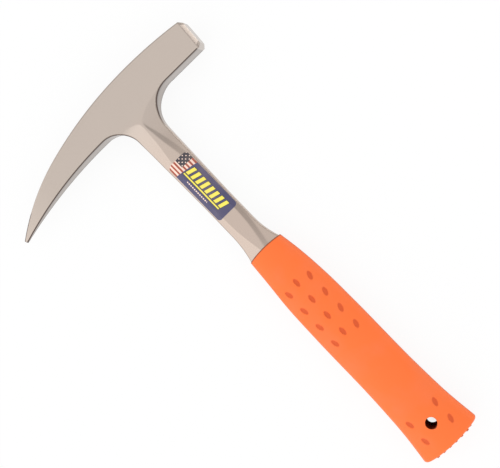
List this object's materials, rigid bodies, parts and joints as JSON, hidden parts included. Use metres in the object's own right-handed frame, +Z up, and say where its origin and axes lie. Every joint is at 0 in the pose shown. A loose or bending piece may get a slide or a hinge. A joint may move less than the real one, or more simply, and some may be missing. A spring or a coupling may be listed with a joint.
{
  "type": "rock hammer",
  "caption": "Pick-end rock hammer: square-faced forged head, faceted steel shank, full tang and an over-moulded oval grip with a lanyard hole.",
  "frame": {"origin": "centre of the bounding box in X and Y, on the plane the hammer rests on when it lies on its side", "axes": "+X from the pick's point towards the striking face, +Y along the handle from the butt to the crown of the head, +Z up through the hammer's thickness, square to the flat cheeks"},
  "size_m": [0.1828, 0.3292, 0.026],
  "materials": {
    "steel": "satin",
    "grip": "satin",
    "label": "gloss"
  },
  "bodies": {
    "root": {"forging": "steel", "grip": "grip", "label": "label"}
  },
  "joints": []
}
